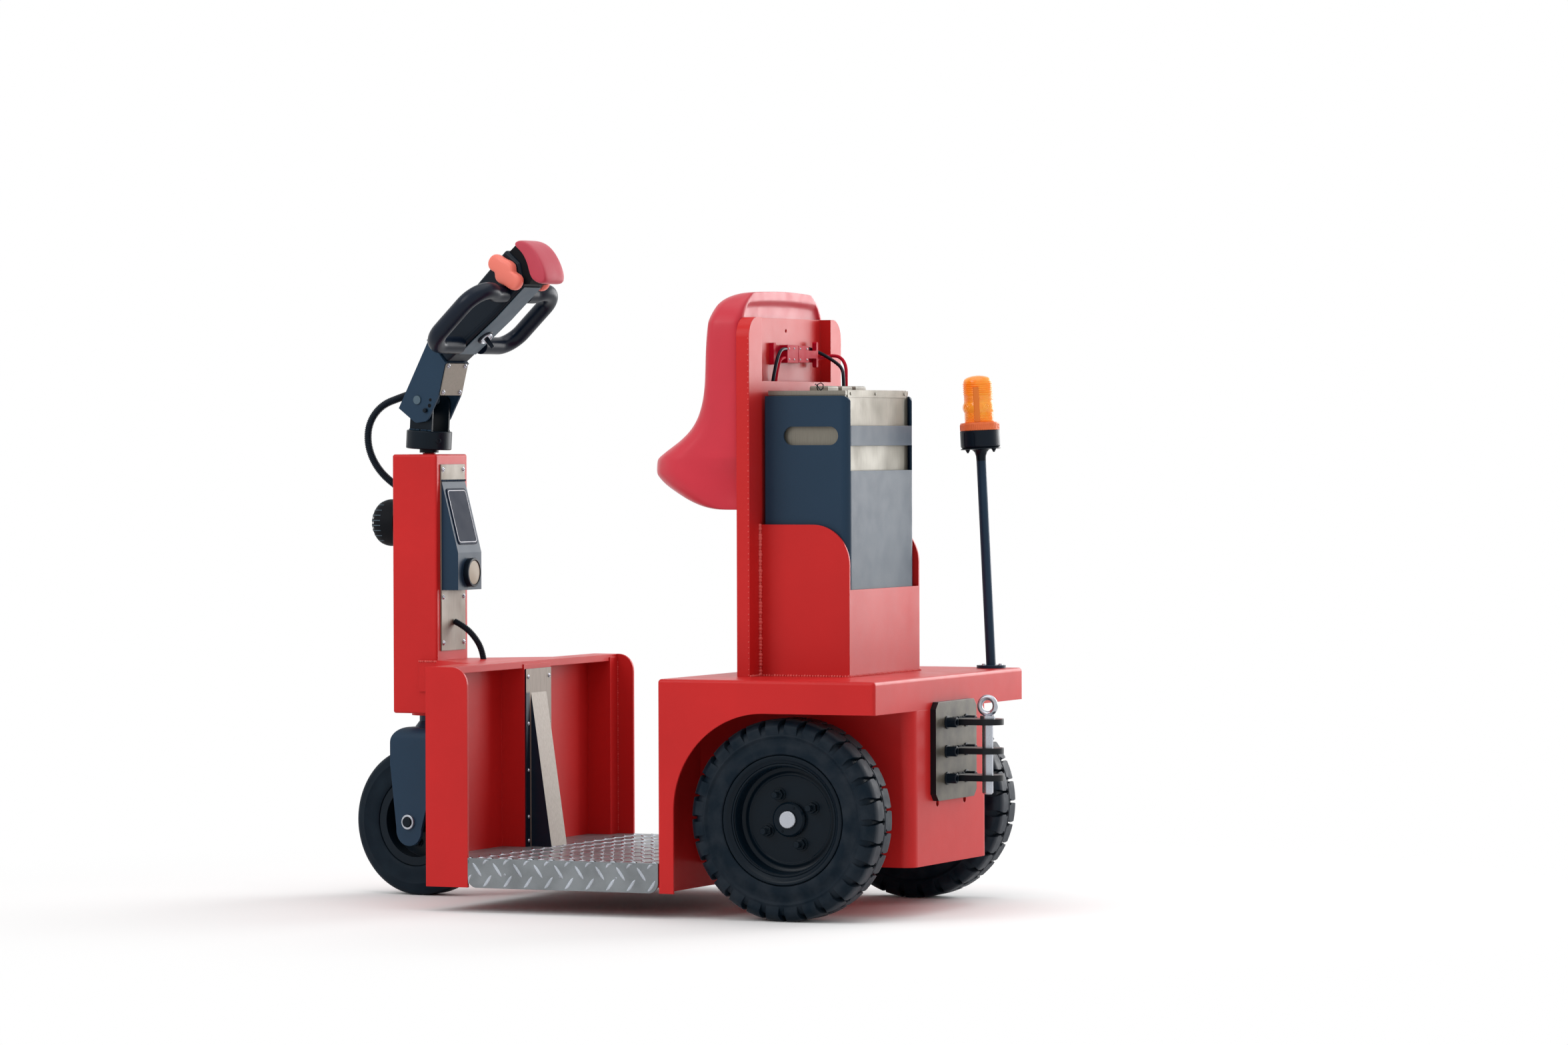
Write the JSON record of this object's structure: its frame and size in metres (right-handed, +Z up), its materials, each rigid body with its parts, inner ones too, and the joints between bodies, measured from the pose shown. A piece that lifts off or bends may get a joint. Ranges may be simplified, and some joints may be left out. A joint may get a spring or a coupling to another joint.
{
  "type": "airport baggage tug",
  "caption": "Stand-on electric baggage tug with a steered front wheel, tilting tiller, perch seat on a pedestal, battery, beacon and pin tow hitch.",
  "frame": {"origin": "on the floor under the middle of the overall length and width", "axes": "+X forwards, +Y to the driver's left, +Z up"},
  "size_m": [1.4556, 0.78, 1.3548],
  "materials": {
    "red_paint": "powder coat, satin gloss",
    "dark_paint": "powder coat, blue-grey",
    "black_metal": "black finish",
    "stainless": "brushed stainless sheet",
    "chequer_plate": "chequer plate",
    "zinc": "zinc plated",
    "tyre": "black solid rubber",
    "seat_red": "moulded soft skin",
    "black_plastic": "moulded",
    "grip_rubber": "soft touch",
    "screen": "dark screen",
    "amber": "amber lens",
    "button_red": "moulded",
    "knob_coral": "moulded",
    "plug_red": "moulded",
    "case_metal": "bare sheet",
    "hitch_paint": "phosphated plate"
  },
  "bodies": {
    "chassis": {"rear_body": "red_paint", "rear_box": "red_paint", "drive_axle": "black_metal", "platform_deck": "chequer_plate", "platform_frame": "red_paint", "apron": "red_paint", "wedge_cover": "stainless", "column": "red_paint", "column_cover": "stainless", "display_housing": "dark_paint", "display_screen": "screen", "gauge": "black_plastic", "horn": "black_plastic", "pedestal": "red_paint", "seat": "seat_red", "battery_tray": "red_paint", "battery_wrap": "dark_paint", "battery_case": "case_metal", "battery_lid": "case_metal", "power_connector": "plug_red", "hitch": "hitch_paint", "beacon_pole": "black_metal", "beacon_base": "black_plastic", "beacon_lens": "amber", "tiller_conduit": "black_plastic", "column_conduit": "black_plastic", "lead_black_left": "black_plastic", "lead_red_left": "plug_red", "lead_black_right": "black_plastic", "lead_red_right": "plug_red"},
    "steering": {"fork": "dark_paint", "front_axle": "zinc", "steering_collar": "black_metal", "tilt_pin": "zinc"},
    "tiller": {"tiller_arm": "dark_paint", "arm_cover": "stainless", "tiller_head": "black_plastic", "belly_button": "button_red", "grip_left": "grip_rubber", "grip_right": "grip_rubber", "throttle_left": "knob_coral", "throttle_right": "knob_coral"},
    "front_wheel": {"front_tyre": "tyre", "front_rim": "black_metal"},
    "rear_wheel_left": {"rear_tyre_left": "tyre", "rear_rim_left": "black_metal", "half_shaft_left": "zinc"},
    "rear_wheel_right": {"rear_tyre_right": "tyre", "rear_rim_right": "black_metal", "half_shaft_right": "zinc"},
    "hitch_pin": {"hitch_pin": "zinc"}
  },
  "joints": [
    {"name": "steer", "type": "hinge", "parent": "chassis", "child": "steering", "pos_m": [0.55917, 0, 0.949], "axis": [0, 0, 1], "range_deg": [-81, 99], "deforming": ["tiller_conduit"]},
    {"name": "tiller_tilt", "type": "hinge", "parent": "steering", "child": "tiller", "pos_m": [0.55917, 0, 1.032], "axis": [0.1564, 0.9877, 0], "range_deg": [-22, 38]},
    {"name": "front_wheel_spin", "type": "hinge", "parent": "steering", "child": "front_wheel", "pos_m": [0.57103, -0.00188, 0.154], "axis": [0.1564, 0.9877, 0], "continuous": true},
    {"name": "rear_left_spin", "type": "hinge", "parent": "chassis", "child": "rear_wheel_left", "pos_m": [-0.41082, 0.326, 0.2], "axis": [0, 1, 0], "continuous": true},
    {"name": "rear_right_spin", "type": "hinge", "parent": "chassis", "child": "rear_wheel_right", "pos_m": [-0.41082, -0.326, 0.2], "axis": [0, 1, 0], "continuous": true},
    {"name": "hitch_pin_lift", "type": "slide", "parent": "chassis", "child": "hitch_pin", "axis": [0, 0, 1], "range_m": [0, 0.155]}
  ]
}
